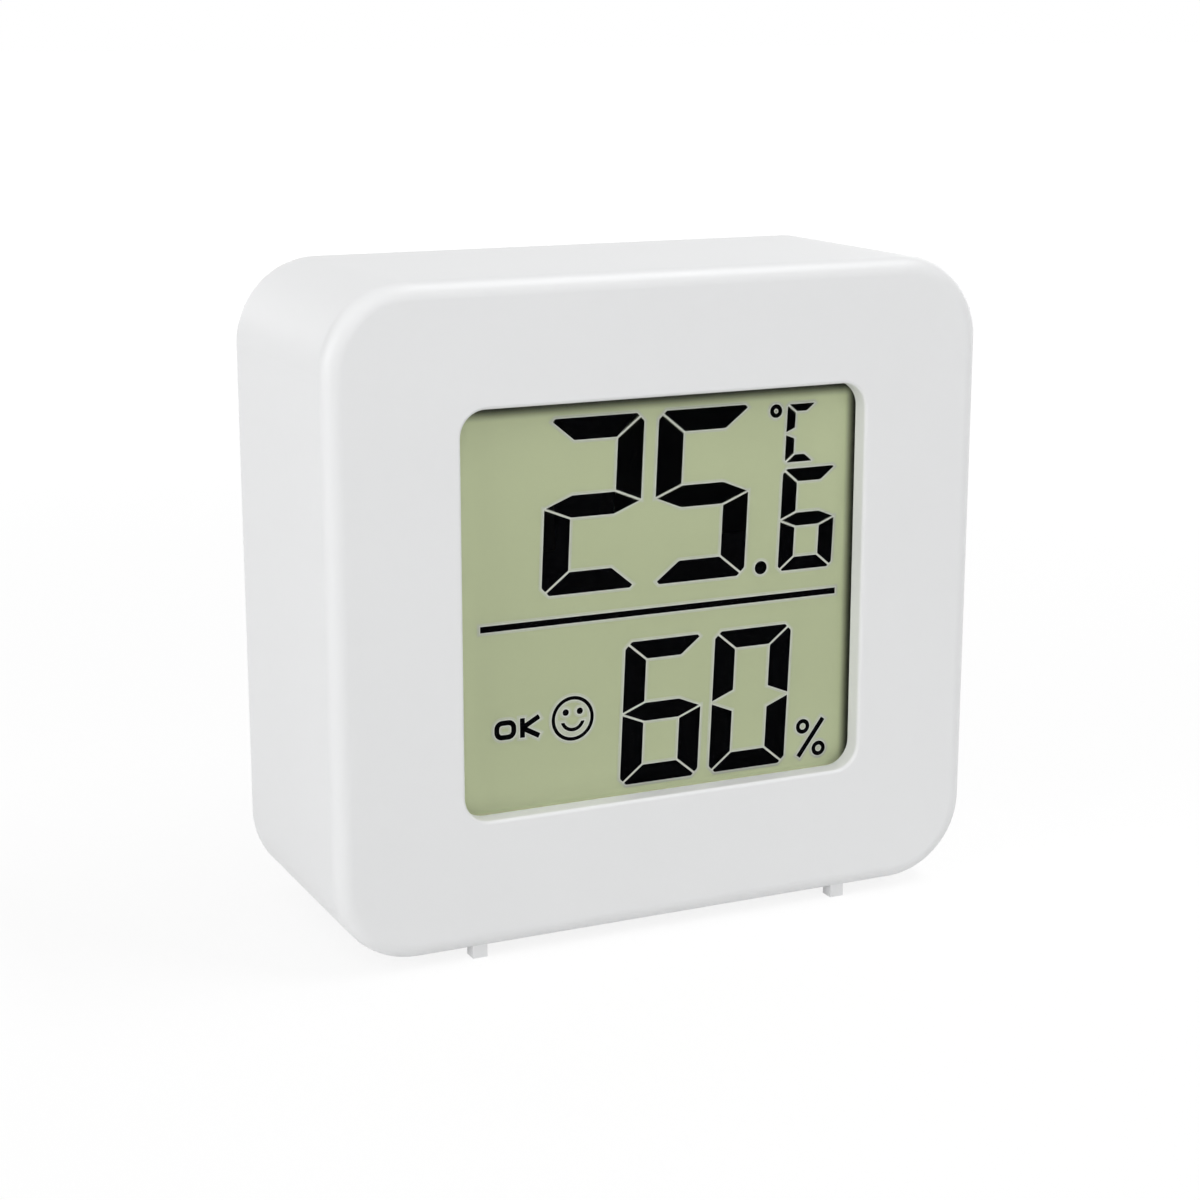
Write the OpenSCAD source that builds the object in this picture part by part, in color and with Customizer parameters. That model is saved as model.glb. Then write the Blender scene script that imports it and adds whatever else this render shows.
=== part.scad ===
// Small desk thermometer and hygrometer. A one-piece front shell holds the display and the circuit board,
// and an inset back cover with a coin cell tray, a twist door and a unit button closes it.
// The front faces -Y, +Z is up, and the origin lies on the table under the middle of the body.
// A depth is measured from the front face towards the back.

/* [Body] */
// Width of the body
body_w = 46; // [42:0.5:60]
// Height of the body without its feet
body_h = 43; // [39:0.5:60]
// Depth of the body
body_d = 18; // [16.5:0.5:26]
// Radius of the four corners seen from the front
corner_r = 5.5; // [4:0.25:7]
// Rounding of the front edge
front_edge_r = 1.1; // [0.4:0.1:1.5]
// Rounding of the back edge
back_edge_r = 0.6; // [0.2:0.1:1]
// Thickness of the side walls
side_wall = 1.6; // [1.3:0.1:2]
// Thickness of the front wall
front_wall = 1.3; // [1:0.1:2]

/* [Feet] */
// Width of a foot
foot_w = 1; // [0.6:0.1:3]
// Length of a foot from front to back
foot_l = 1; // [0.6:0.1:4]
// Height of a foot below the body
foot_h = 0.7; // [0.4:0.1:1.5]
// Distance between the left and right feet
foot_spacing = 26.5; // [16:0.5:32]
// Distance of a foot from the front or back face
foot_inset = 0.5; // [0.3:0.1:3]

/* [Window] */
// Width of the border on the left and right of the display window
window_side = 8.7; // [8:0.05:12]
// Height of the border above and below the display window, when it is level with the body's middle
window_end = 8.3; // [7.5:0.05:11]
// Radius of the window's corners
window_r = 1.7; // [0.6:0.1:3]
// Rounding of the window's front edge
window_lip_r = 0.25; // [0.1:0.05:0.5]
// Distance of the window's middle above the body's middle
window_lift = 0.3; // [-0.5:0.1:0.8]

/* [Display] */
// How far the glass reaches past the window on each side
glass_margin = 0.95; // [0.7:0.05:1.2]
// Height of the contact ledge below the cell
contact_ledge = 2.8; // [2.2:0.1:3]
// Thickness of the front polarizer
polarizer_t = 0.15; // [0.1:0.05:0.3]
// Thickness of each glass plate
glass_t = 0.4; // [0.3:0.05:0.7]
// Gap between the glass plates, which the segments fill
cell_gap = 0.05; // [0.05:0.01:0.1]
// Width of the seal round the cell
seal_w = 0.5; // [0.3:0.05:0.6]
// Thickness of the reflector behind the cell
reflector_t = 0.2; // [0.1:0.05:0.4]

/* [Artwork] */
// Distance of the divider's ends from the window's sides
art_side = 1.4; // [0.8:0.05:2]
// Distance of the temperature digits from the window's top
art_top = 1.15; // [0.6:0.05:2]
// Distance of the humidity digits from the window's bottom
art_low = 0.4; // [0.3:0.05:2]
// Distance of the temperature digits from the divider's left end
tens_inset = 4.15; // [3:0.05:6]
// Distance of the comfort word from the divider's left end
word_inset = 0.9; // [0.5:0.05:1.6]
// Thickness of a temperature digit's level bars
digit_bar = 1.57; // [1:0.01:1.8]
// Thickness of a temperature digit's upright bars
digit_post = 1.96; // [1.2:0.01:2.2]
// Width of the tenths digit
tenths_w = 4.2; // [3.4:0.05:4.6]
// Thickness of the tenths digit's level bars
tenths_bar = 1.02; // [0.6:0.01:1.2]
// Thickness of the tenths digit's upright bars
tenths_post = 1.24; // [0.8:0.01:1.5]
// Thickness of a humidity digit's level bars
humidity_bar = 1.37; // [0.9:0.01:1.6]
// Thickness of a humidity digit's upright bars
humidity_post = 1.68; // [1.1:0.01:1.9]
// Width of the degree unit's letter
unit_w = 2.3; // [1.8:0.05:2.5]
// Height of the degree unit's letter
unit_h = 4; // [3.4:0.05:4.4]
// Thickness of the letter's level bars
unit_bar = 0.63; // [0.4:0.01:0.75]
// Thickness of the letter's upright bars
unit_post = 0.77; // [0.5:0.01:0.9]
// Gap between the letter and the tenths digit below it
unit_gap = 0.3; // [0.2:0.05:1.2]
// Distance of the letter's top below the top of the temperature digits
unit_drop = 0.2; // [0:0.05:0.5]
// Outer radius of the degree ring and of the decimal point
dot_r = 0.45; // [0.35:0.01:0.5]
// Outer radius of the rings of the percent sign
percent_r = 0.52; // [0.45:0.01:0.6]
// Length of the percent sign's stroke
percent_l = 3.15; // [2.6:0.05:3.4]
// Slope of the percent sign's stroke in degrees
percent_tilt = 53.5; // [48:0.5:58]
// Distance of the percent sign above the bottom of the humidity digits
percent_lift = 0.3; // [0:0.05:0.6]
// Outer radius of the comfort face
face_r = 1.5; // [1.2:0.01:1.6]
// Distance of the face's middle above the middle of the humidity digits
face_lift = 0.2; // [0:0.05:0.5]
// Width of the comfort word
word_w = 3.3; // [2.4:0.1:3.8]
// Height of the comfort word
word_h = 1.3; // [1:0.05:1.6]
// Thickness of thin strokes
stroke = 0.34; // [0.2:0.01:0.4]
// Thickness of the divider between the two rows
divider_t = 0.41; // [0.25:0.01:0.5]
// Distance of the divider below the window's middle
divider_drop = 1.12; // [0.5:0.02:1.2]
// Gap between the divider and the temperature digits
row_gap = 1.46; // [1.2:0.02:1.6]
// Gap between the divider and the humidity digits
low_gap = 1.66; // [1.2:0.02:2]
// Gap between neighbouring temperature digits
digit_gap = 0.9; // [0.6:0.05:1.3]
// Distance of the decimal point's middle from the digits on either side of it
point_gap = 1.2; // [0.8:0.05:1.4]
// Gap between neighbouring humidity digits
humidity_gap = 0.72; // [0.5:0.02:1.2]
// Gap between the humidity digits and the percent sign
percent_gap = 0.88; // [0.6:0.02:1.2]
// Gap between the bars of a digit
bar_gap = 0.14; // [0.08:0.01:0.2]
// Corner cut of a digit, as a share of its upright bars
corner_cut = 0.3; // [0.1:0.05:0.6]
// Slant of the digits in degrees
slant = 2.5; // [0:0.5:5]

/* [Frame and board] */
// Clearance round the glass in its frame
glass_clear = 0.15; // [0.1:0.05:0.25]
// Width of the frame's rim outside the glass
frame_rim = 1.2; // [1:0.1:1.4]
// Thickness of the frame behind the display
frame_back = 1.1; // [0.8:0.1:2]
// Width of the shoulder that carries the display's edge
frame_shoulder = 1.5; // [1:0.1:3]
// Width of the rubber connector
zebra_w = 1.6; // [1.2:0.1:1.8]
// Distance of the rubber connector's ends from the glass's sides
zebra_inset = 2; // [1:0.1:5]
// Thickness of the circuit board
board_t = 1; // [0.8:0.1:1.6]
// Gap between the board's edge and what it clears
board_gap = 0.6; // [0.3:0.1:0.9]
// Radius of the bosses under the board
boss_r = 1.7; // [1.5:0.1:1.8]
// Height of the board's screws above and below the body's middle
boss_z = 8; // [6:0.5:10]

/* [Screws] */
// Shank radius of the board screws
board_screw_r = 0.65; // [0.5:0.05:0.7]
// Shank radius of the cover screws
cover_screw_r = 0.8; // [0.7:0.05:0.9]
// Length of a cover screw's shank
cover_screw_l = 6.5; // [5:0.5:9]
// Clearance round a screw
screw_clear = 0.06; // [0.04:0.01:0.1]
// Height of a screw's head
head_h = 0.8; // [0.6:0.05:0.9]
// How far a head reaches past its shank
head_reach = 0.65; // [0.5:0.05:0.7]
// Radius of the posts under the cover screws
post_r = 2.1; // [1.8:0.1:2.3]
// Distance of the posts from the body's faces
post_inset = 5; // [4.8:0.1:5.4]

/* [Back cover] */
// Thickness of the cover
cover_t = 1.6; // [1.4:0.1:2]
// Depth of the cover's face below the back rim
cover_recess = 0.5; // [0.3:0.1:0.8]
// Gap round the cover
cover_clear = 0.15; // [0.1:0.05:0.3]
// Rounding of the outer edges of the cover, the door and the button
panel_edge_r = 0.3; // [0.1:0.05:0.5]
// Length of a vent slot
vent_l = 7; // [5:0.5:7.5]
// Width of a vent slot
vent_w = 1.1; // [0.8:0.1:1.4]
// Distance between neighbouring vent slots
vent_pitch = 2.2; // [2:0.1:2.4]
// Number of vent slots
vent_count = 4; // [2:1:4]
// Radius of the keyhole's round entry
keyhole_r = 3; // [2.6:0.1:3.2]
// Width of the keyhole's slot
keyhole_slot = 2.6; // [2.2:0.1:3]
// Length of the keyhole's slot above its entry
keyhole_run = 3.9; // [3.4:0.1:4.6]

/* [Coin cell] */
// Radius of the coin cell
cell_r = 10; // [9:0.25:10.25]
// Thickness of the coin cell
cell_t = 3.2; // [2.5:0.1:3.6]
// Gap round the coin cell
cell_clear = 0.3; // [0.2:0.05:0.4]
// Thickness of the tray's floor
tray_floor_t = 1; // [0.8:0.1:1.4]
// Thickness of the tray's wall
tray_wall = 1.2; // [1:0.1:1.4]
// Height of the spring contact under the cell
contact_rise = 0.8; // [0.6:0.05:1]
// Thickness of the contact metal
contact_t = 0.25; // [0.2:0.05:0.3]
// Width of the contact metal
contact_w = 4; // [3:0.5:6]
// Length of a contact's tail below the tray
tail_l = 1.2; // [1.1:0.1:1.4]
// Radius of the battery leads
lead_r = 0.45; // [0.35:0.05:0.5]
// Bend radius of the battery leads
lead_bend = 1.2; // [0.8:0.1:1.4]

/* [Twist door] */
// Distance of the door's middle below the body's middle
door_drop = 4.3; // [3.8:0.1:5]
// Thickness of the door's disc
door_t = 1.3; // [1.1:0.1:1.6]
// Gap round the door
door_clear = 0.15; // [0.1:0.05:0.25]
// Play of the door along its axis
door_play = 0.08; // [0.05:0.01:0.15]
// Thickness of the ledge that the lugs lock under
ledge_t = 0.95; // [0.8:0.05:1.2]
// Thickness of a lug
lug_t = 1.1; // [0.8:0.05:1.3]
// Reach of a lug past the door's neck
lug_reach = 1.05; // [0.8:0.05:1.2]
// Arc that a lug covers in degrees
lug_arc = 24; // [16:1:28]
// Turn from locked to open in degrees
door_turn = 30; // [30:1:60]
// Length of the coin slot
coin_slot_l = 10; // [8:0.5:14]
// Width of the coin slot
coin_slot_w = 1.8; // [1.4:0.1:2.4]
// Depth of the coin slot
coin_slot_d = 0.8; // [0.5:0.1:0.9]

/* [Unit button] */
// Radius of the button
button_r = 2.35; // [2:0.05:2.6]
// Gap round the button
button_clear = 0.1; // [0.06:0.01:0.15]
// Height of the button above the cover
button_proud = 0.2; // [0:0.05:0.3]
// Travel of the button
button_travel = 0.5; // [0.3:0.05:0.6]
// Distance of the button's middle from the body's side
button_side = 10.5; // [9.8:0.1:11]
// Distance of the button's middle from the body's top
button_top = 11.5; // [11:0.1:12]
// Radius of the button's stem
stem_r = 1.5; // [1.2:0.1:1.6]
// Side of the switch's square body
switch_w = 6; // [5:0.5:6.5]
// Height of the switch's body
switch_h = 3.5; // [2.5:0.1:3.6]
// Radius of the switch's plunger
plunger_r = 1.7; // [1.4:0.05:1.8]
// Height of the plunger above the switch
plunger_h = 1.5; // [1:0.1:1.6]

/* [Hidden] */
$fn = 64;
// How far a cut runs past a face
past = 1;
// Gap under the tip of a board screw
tip_gap = 0.2;

mid_z = foot_h + body_h / 2;
cavity_w = body_w - 2 * side_wall;
cavity_h = body_h - 2 * side_wall;
cavity_r = corner_r - side_wall;

// The window, with its upper and lower edges from the body's middle
window_w = body_w - 2 * window_side;
window_h = body_h - 2 * window_end;
window_top = window_lift + window_h / 2;
window_low = window_lift - window_h / 2;

// Heights of the artwork, from the body's middle
divider_z = window_lift - divider_drop;
row_z = divider_z + divider_t / 2 + row_gap;
row_top = window_top - art_top;
digit_h = row_top - row_z;
unit_top = row_top - unit_drop;
tenths_h = digit_h - unit_drop - unit_h - unit_gap;
low_top = divider_z - divider_t / 2 - low_gap;
low_z = window_low + art_low;
humidity_h = low_top - low_z;
low_mid = low_z + humidity_h / 2;

// Places along the upper row, where two digits share the room left of the decimal point
art_shift = 0.45;
unit_inset = 0.4;
degree_gap = 0.18;
divider_l = window_w - 2 * art_side;
art_left = art_shift - divider_l / 2;
art_right = art_shift + divider_l / 2;
tenths_x = art_right - lean(tenths_h) - tenths_w;
point_x = tenths_x - point_gap;
tens_x = art_left + tens_inset;
digit_w = (point_x - point_gap - tens_x - digit_gap) / 2;
ones_x = tens_x + digit_w + digit_gap;
unit_x = tenths_x + unit_inset;
degree_x = unit_x - degree_gap - dot_r;

// Places along the lower row, where two digits share the room between the face and the percent sign
face_gap = 1.8;
word_gap = 0.7;
percent_inset = 0.5;
percent_run = percent_l * cos(percent_tilt);
percent_rise = percent_l * sin(percent_tilt);
percent_reach = percent_run / 3 + percent_r;
ring_t = stroke * 0.85;
word_x = art_left + word_inset;
face_x = word_x + word_w + word_gap + face_r;
percent_x = art_right - percent_inset - percent_reach;
tens_low_x = face_x + face_r + face_gap;
humidity_w = (percent_x - percent_reach - percent_gap - tens_low_x - humidity_gap) / 2;
ones_low_x = tens_low_x + humidity_w + humidity_gap;

// The glass covers the window
glass_w = window_w + 2 * glass_margin;
glass_top = window_top + glass_margin;
glass_low = window_low - glass_margin;
ledge_low = glass_low - contact_ledge;
zebra_l = glass_w - 2 * zebra_inset;

// Depths of the display, the frame and the board
front_glass_d = front_wall + polarizer_t;
segment_d = front_glass_d + glass_t;
rear_glass_d = segment_d + cell_gap;
reflector_d = rear_glass_d + glass_t;
display_back = reflector_d + reflector_t;
board_d = display_back + frame_back;
board_back = board_d + board_t;

// Outline of the frame and the places of the board's bosses
frame_w = glass_w + 2 * (glass_clear + frame_rim);
frame_top = glass_top + glass_clear + frame_rim;
frame_low = ledge_low - glass_clear - frame_rim;
boss_gap = 0.3;
boss_x = frame_w / 2 + boss_gap + boss_r;
board_top = cavity_h / 2 - 2 * board_gap;
post_x = body_w / 2 - post_inset;
post_z = body_h / 2 - post_inset;

// Depths of the back cover, the door, the coin cell and its tray
cover_back = body_d - cover_recess;
cover_front = cover_back - cover_t;
door_front = cover_back - door_t;
ledge_back = door_front - door_play;
ledge_front = ledge_back - ledge_t;
lug_back = ledge_front - door_play;
lug_front = lug_back - lug_t;
cell_back = lug_front - door_play;
cell_front = cell_back - cell_t;
tray_floor_d = cell_front - contact_rise;
tray_front = tray_floor_d - tray_floor_t;
tail_d = tray_front - tail_l;

// Radii of the tray and the door
door_z = -door_drop;
neck_over = 0.4;
neck_r = cell_r + neck_over;
neck_gap = 0.2;
neck_wall = 1.2;
lug_r = neck_r + lug_reach;
lug_room_r = lug_r + 2 * door_clear;
door_r = lug_r + neck_gap;
cell_bore_r = cell_r + cell_clear;
tray_r = max(lug_room_r, door_r + door_clear) + tray_wall;
lug_count = 3;
notch_room = 4;
notch_arc = lug_arc + notch_room;

// Places on the back cover
button_x = body_w / 2 - button_side;
button_z = body_h / 2 - button_top;
keyhole_gap = 0.4;
keyhole_z = door_z + tray_r + keyhole_gap + keyhole_r;
vent_x = -button_x;
vent_z = button_z - (vent_count - 1) * vent_pitch / 2;
mark_r = 0.45;
mark_d = 0.3;

// Depths of the button and its switch
switch_back = board_back + switch_h;
plunger_back = switch_back + plunger_h;
plunger_seat = 1.2;
plunger_front = switch_back - plunger_seat;
flange_reach = 0.9;
flange_t = 1;
flange_gap = 0.08;
guide_wall = 1;
guide_past = 1;
guide_l = flange_t + button_travel + guide_past;

// Small parts on the board
blob_r = 4.5;
blob_h = 1.3;
sensor_size = [8, 6, 2.4];
sensor_slot = [5.6, 0.8, 1];
sensor_slot_pitch = 1.7;
bead_r = 1;
bead_rise = 2.6;
bead_side = 5.8;
bead_x = bead_side - body_w / 2;
bead_z = 2.5;
bead_lead_r = 0.2;
crystal_r = 1;
crystal_l = 6;
crystal_wire = 0.8;
crystal_inset = 4.1;
crystal_z = board_top - crystal_inset;
chip_size = [2, 1.25, 0.6];
chip_pitch = 3.4;
chip_count = 6;
chip_inset = 3.5;
chip_z = chip_inset - board_top;
cap_step = 1.2;
contact_gap = 0.05;
tongue_x = 4.5;
tail_inset = 0.9;
tail_x = cell_r - tail_inset;
lead_gap = 0.12;
lead_d = tray_front - lead_gap - lead_r;
lead_x = tray_r + lead_r + lead_gap;

function y_at(depth) = depth - body_d / 2;
function lean(height) = height * tan(slant);

// A flat shape drawn in X and Z about the body's middle, filling the space between two depths
module plate(d0, d1) {
    translate([0, y_at(d1), mid_z])
        rotate([90, 0, 0])
            linear_extrude(d1 - d0)
                children();
}

// A turned shape, with its axis along the depth from d0 towards the back
module turned(d0, x = 0, z = 0) {
    translate([x, y_at(d0), mid_z + z])
        rotate([-90, 0, 0])
            children();
}

// A round rod between two depths
module rod(d0, d1, r, x = 0, z = 0) {
    turned(d0, x, z)
        cylinder(r = r, h = d1 - d0);
}

// A round rod between two depths with a rounded edge at its back end
module edged_rod(d0, d1, r, edge, x = 0, z = 0) {
    h = d1 - d0;
    turned(d0, x, z)
        rotate_extrude() {
            square([r, h - edge]);
            square([r - edge, h]);
            translate([r - edge, h - edge])
                circle(edge);
        }
}

// A box between two depths, given by its middle in X and Z
module block(d0, d1, w, h, x = 0, z = 0) {
    translate([x - w / 2, y_at(d0), mid_z + z - h / 2])
        cube([w, d1 - d0, h]);
}

module round_rect(w, h, r) {
    square([w - 2 * r, h], center = true);
    square([w, h - 2 * r], center = true);
    for (x = [-1, 1], y = [-1, 1])
        translate([x * (w / 2 - r), y * (h / 2 - r)])
            circle(r);
}

// A slot with round ends along X
module slot_shape(l, w) {
    square([l - w, w], center = true);
    for (x = [-1, 1])
        translate([x * (l - w) / 2, 0])
            circle(w / 2);
}

// A block with round corners whose edge section is the child, drawn from the corner's axis outwards
module swept_block(w, h, r, low, high) {
    cx = w / 2 - r;
    cy = h / 2 - r;
    translate([-cx, -cy, low])
        cube([2 * cx, 2 * cy, high - low]);
    for (turn = [0 : 3]) {
        a = turn % 2 == 0 ? cx : cy;
        b = turn % 2 == 0 ? cy : cx;
        rotate(90 * turn)
            translate([a, b, 0]) {
                rotate_extrude(angle = 90)
                    children();
                rotate([90, 0, 0])
                    linear_extrude(2 * b)
                        children();
            }
    }
}

// Section of the body from a corner's axis outwards, back edge at 0
module body_section() {
    square([corner_r - back_edge_r, body_d / 2]);
    translate([0, body_d / 2])
        square([corner_r - front_edge_r, body_d / 2]);
    translate([0, back_edge_r])
        square([corner_r, body_d - back_edge_r - front_edge_r]);
    translate([corner_r - back_edge_r, back_edge_r])
        circle(back_edge_r);
    translate([corner_r - front_edge_r, body_d - front_edge_r])
        circle(front_edge_r);
}

// Section of the window cut, with the front face at the height of the front wall
module window_section() {
    translate([0, -past])
        square([window_r, front_wall + past]);
    difference() {
        translate([0, front_wall - window_lip_r])
            square([window_r + window_lip_r, window_lip_r + past]);
        translate([window_r + window_lip_r, front_wall - window_lip_r])
            circle(window_lip_r);
    }
}

module body_block() {
    translate([0, y_at(body_d), mid_z])
        rotate([90, 0, 0])
            swept_block(body_w, body_h, corner_r, 0, body_d)
                body_section();
}

module window_cut() {
    translate([0, y_at(front_wall), mid_z + window_lift])
        rotate([90, 0, 0])
            swept_block(window_w, window_h, window_r, -past, front_wall + past)
                window_section();
}

module at_posts() {
    for (x = [-1, 1], z = [-1, 1])
        translate([x * post_x, 0, z * post_z])
            children();
}

module at_bosses() {
    for (x = [-1, 1], z = [-1, 1])
        translate([x * boss_x, 0, z * boss_z])
            children();
}

module feet() {
    foot_root = side_wall * 3 / 4;
    foot_y = body_d / 2 - foot_inset - foot_l / 2;
    for (x = [-1, 1], y = [-1, 1])
        translate([x * foot_spacing / 2 - foot_w / 2, y * foot_y - foot_l / 2, 0])
            cube([foot_w, foot_l, foot_h + foot_root]);
}

module front_shell() {
    boss_root = front_wall / 2;
    pilot_floor = front_wall + tip_gap / 2;
    color("white")
        difference() {
            union() {
                difference() {
                    body_block();
                    plate(front_wall, body_d + past)
                        round_rect(cavity_w, cavity_h, cavity_r);
                }
                at_posts()
                    rod(boss_root, cover_front, post_r);
                at_bosses()
                    rod(boss_root, board_d, boss_r);
                feet();
            }
            window_cut();
            at_posts()
                rod(cover_front - cover_screw_l, cover_front + past, cover_screw_r + screw_clear);
            at_bosses()
                rod(pilot_floor, board_d + past, board_screw_r + screw_clear);
        }
}

// A rectangle given by its width and its lower and upper edges
module glass_shape(low, high, grow = 0) {
    translate([-glass_w / 2 - grow, low - grow])
        square([glass_w + 2 * grow, high - low + 2 * grow]);
}

module lcd_front_polarizer() {
    color("whitesmoke", 0.3)
        plate(front_wall, front_glass_d)
            glass_shape(glass_low, glass_top, -seal_w / 2);
}

module lcd_front_glass() {
    color("lightcyan", 0.3)
        plate(front_glass_d, segment_d)
            glass_shape(ledge_low, glass_top);
}

module lcd_edge_seal() {
    color("gray")
        plate(segment_d, rear_glass_d)
            difference() {
                glass_shape(glass_low, glass_top);
                glass_shape(glass_low, glass_top, -seal_w);
            }
}

module lcd_rear_glass() {
    color("darkseagreen")
        plate(rear_glass_d, reflector_d)
            glass_shape(glass_low, glass_top);
}

module lcd_reflector() {
    color("silver")
        plate(reflector_d, display_back)
            glass_shape(glass_low, glass_top, -seal_w / 2);
}

// Corners of one bar of a seven-bar digit of width w and height h, with level bars of thickness t
// and upright bars of thickness p. k is the outer corner cut and q the share of the mitre that it takes.
function bar_points(bar, w, h, t, p, k, q) =
    let (m = h / 2)
    bar == "a" ? [[q * p, h - q * t], [k, h], [w - k, h], [w - q * p, h - q * t],
        [w - p, h - t], [p, h - t]] :
    bar == "d" ? [[q * p, q * t], [p, t], [w - p, t], [w - q * p, q * t], [w - k, 0], [k, 0]] :
    bar == "g" ? [[0, m], [p, m + t / 2], [w - p, m + t / 2], [w, m], [w - p, m - t / 2], [p, m - t / 2]] :
    bar == "f" ? [[0, m], [0, h - k], [q * p, h - q * t], [p, h - t], [p, m + t / 2]] :
    bar == "e" ? [[0, m], [p, m - t / 2], [p, t], [q * p, q * t], [0, k]] :
    bar == "b" ? [[w, m], [w - p, m + t / 2], [w - p, h - t], [w - q * p, h - q * t], [w, h - k]] :
    [[w, m], [w, k], [w - q * p, q * t], [w - p, t], [w - p, m - t / 2]];

// Point where two edges of a clockwise outline meet once each is moved inwards by gap
function inset_point(before, at, after, gap) =
    let (
        u = (at - before) / norm(at - before),
        v = (after - at) / norm(after - at),
        n = [u[1], -u[0]],
        m = [v[1], -v[0]]
    )
    at + gap * (n + m) / (1 + n * m);

function inset_outline(points, gap) =
    let (n = len(points))
    [for (i = [0 : n - 1]) inset_point(points[(i + n - 1) % n], points[i], points[(i + 1) % n], gap)];

function leaning(points) = [for (point = points) [point[0] + lean(point[1]), point[1]]];

// The lit bars of a digit with its lower left corner at x, z
module digit(bars, x, z, w, h, bar_t, post_t) {
    cut = corner_cut * post_t;
    share = cut / (bar_t + post_t);
    translate([x, z])
        for (bar = bars) {
            outline = bar_points(bar, w, h, bar_t, post_t, cut, share);
            polygon(leaning(inset_outline(outline, bar_gap / 2)));
        }
}

module ring(r, thickness) {
    difference() {
        circle(r);
        circle(r - thickness);
    }
}

// A straight stroke between two points
module stroke_line(from, to, thickness) {
    along = (to - from) / norm(to - from);
    side = [-along[1], along[0]] * thickness / 2;
    polygon([from + side, to + side, to - side, from - side]);
}

module percent_sign() {
    tip = [percent_run / 2, percent_rise / 2];
    translate([percent_x, low_z + percent_lift + percent_rise / 2]) {
        stroke_line(-tip, tip, stroke);
        for (end = [-1, 1])
            translate([-end * percent_run / 3, end * percent_rise / 3])
                ring(percent_r, ring_t);
    }
}

module comfort_face() {
    line = stroke * 0.7;
    eye_r = stroke * 0.65;
    eye_x = face_r / 3;
    eye_z = face_r * 0.3;
    smile_r = face_r * 0.58;
    smile_h = face_r * 0.85;
    translate([face_x, low_mid + face_lift]) {
        ring(face_r, line);
        for (x = [-1, 1])
            translate([x * eye_x, eye_z])
                circle(eye_r);
        intersection() {
            ring(smile_r, line);
            translate([-face_r, -face_r])
                square([2 * face_r, smile_h]);
        }
    }
}

// The comfort word: a round letter and a letter with two arms
module comfort_word() {
    letter_w = word_w * 0.46;
    outer_r = min(letter_w, word_h) * 0.42;
    inner_r = outer_r - stroke;
    arm_x = word_w - letter_w;
    middle = word_h / 2;
    translate([word_x, low_mid - middle]) {
        translate([letter_w / 2, middle])
            difference() {
                round_rect(letter_w, word_h, outer_r);
                round_rect(letter_w - 2 * stroke, word_h - 2 * stroke, inner_r);
            }
        translate([arm_x, 0])
            square([stroke, word_h]);
        for (end = [0, word_h])
            stroke_line([arm_x + stroke / 2, middle], [word_w - stroke / 2, end], stroke);
    }
}

module artwork() {
    digit("abged", tens_x, row_z, digit_w, digit_h, digit_bar, digit_post);
    digit("afgcd", ones_x, row_z, digit_w, digit_h, digit_bar, digit_post);
    digit("acdefg", tenths_x, row_z, tenths_w, tenths_h, tenths_bar, tenths_post);
    translate([point_x, row_z + dot_r])
        circle(dot_r);
    translate([degree_x, unit_top - dot_r])
        ring(dot_r, ring_t);
    digit("adef", unit_x, unit_top - unit_h, unit_w, unit_h, unit_bar, unit_post);
    translate([art_shift, divider_z])
        square([divider_l, divider_t], center = true);
    digit("acdefg", tens_low_x, low_z, humidity_w, humidity_h, humidity_bar, humidity_post);
    digit("abcdef", ones_low_x, low_z, humidity_w, humidity_h, humidity_bar, humidity_post);
    percent_sign();
    comfort_face();
    comfort_word();
}

module lcd_segments() {
    color("black")
        plate(segment_d, rear_glass_d)
            artwork();
}

module lcd_frame() {
    zebra_z = (ledge_low + glass_low) / 2;
    zebra_room = 2 * glass_clear;
    color("gainsboro")
        difference() {
            plate(front_wall, board_d)
                translate([-frame_w / 2, frame_low])
                    square([frame_w, frame_top - frame_low]);
            plate(front_wall - past, segment_d)
                glass_shape(ledge_low, glass_top, glass_clear);
            plate(segment_d - past, display_back)
                glass_shape(glass_low, glass_top, glass_clear);
            plate(display_back - past, board_d + past)
                glass_shape(glass_low, glass_top, -frame_shoulder);
            block(front_wall, board_d + past, zebra_l + zebra_room, zebra_w + zebra_room, 0, zebra_z);
            at_posts()
                rod(front_wall - past, board_d + past, post_r + boss_gap);
        }
}

module zebra_strip() {
    color("dimgray")
        block(segment_d, board_d, zebra_l, zebra_w, 0, (ledge_low + glass_low) / 2);
}

module main_pcb() {
    wide = 2 * (boss_x + boss_r);
    tall = 2 * board_top;
    color("seagreen")
        difference() {
            plate(board_d, board_back)
                union() {
                    square([wide, 2 * (post_z - post_r - board_gap)], center = true);
                    square([2 * (post_x - post_r - board_gap), tall], center = true);
                }
            at_bosses()
                rod(board_d - past, board_back + past, board_screw_r + 2 * screw_clear);
        }
}

// A screw with a crossed recess, its head resting on depth d and its shank running to the front
module screw(d, shank_r, shank_l) {
    recess_w = 0.35;
    recess_l = 2 * shank_r;
    difference() {
        union() {
            rod(d - shank_l, d, shank_r);
            rod(d, d + head_h, shank_r + head_reach);
        }
        block(d + head_h / 2, d + head_h + past, recess_l, recess_w);
        block(d + head_h / 2, d + head_h + past, recess_w, recess_l);
    }
}

module board_screws() {
    color("silver")
        at_bosses()
            screw(board_back, board_screw_r, board_back - front_wall - tip_gap);
}

module cover_screws() {
    color("silver")
        at_posts()
            screw(cover_back - head_h - screw_clear, cover_screw_r, cover_screw_l);
}

module controller_chip() {
    ball_r = (blob_r * blob_r + blob_h * blob_h) / (2 * blob_h);
    color("black")
        turned(board_back, 0, door_z)
            rotate_extrude()
                intersection() {
                    translate([0, blob_h - ball_r])
                        circle(ball_r);
                    square([blob_r + past, blob_h + past]);
                }
}

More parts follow.
